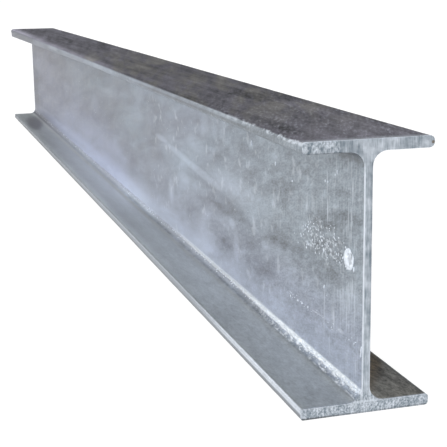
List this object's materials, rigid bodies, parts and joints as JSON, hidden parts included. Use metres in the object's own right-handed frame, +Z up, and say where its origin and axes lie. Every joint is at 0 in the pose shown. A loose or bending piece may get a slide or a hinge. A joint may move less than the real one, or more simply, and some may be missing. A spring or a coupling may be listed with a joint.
{
  "type": "h-beam",
  "caption": "Hot-rolled narrow-flange H-beam, hot-dip galvanised, with parallel flanges, filleted roots and sawn ends, for posts, lintels and light frames.",
  "frame": {"origin": "middle of the beam's length and width, on the underside of the bottom flange", "axes": "+X along the beam's length, +Y across the flanges, +Z up along the web"},
  "size_m": [1.4, 0.075, 0.15],
  "materials": {
    "galvanised_steel": "hot-dip galvanised zinc, dull and mottled, with drain streaks and specks"
  },
  "bodies": {
    "root": {"h_beam": "galvanised_steel"}
  },
  "joints": []
}
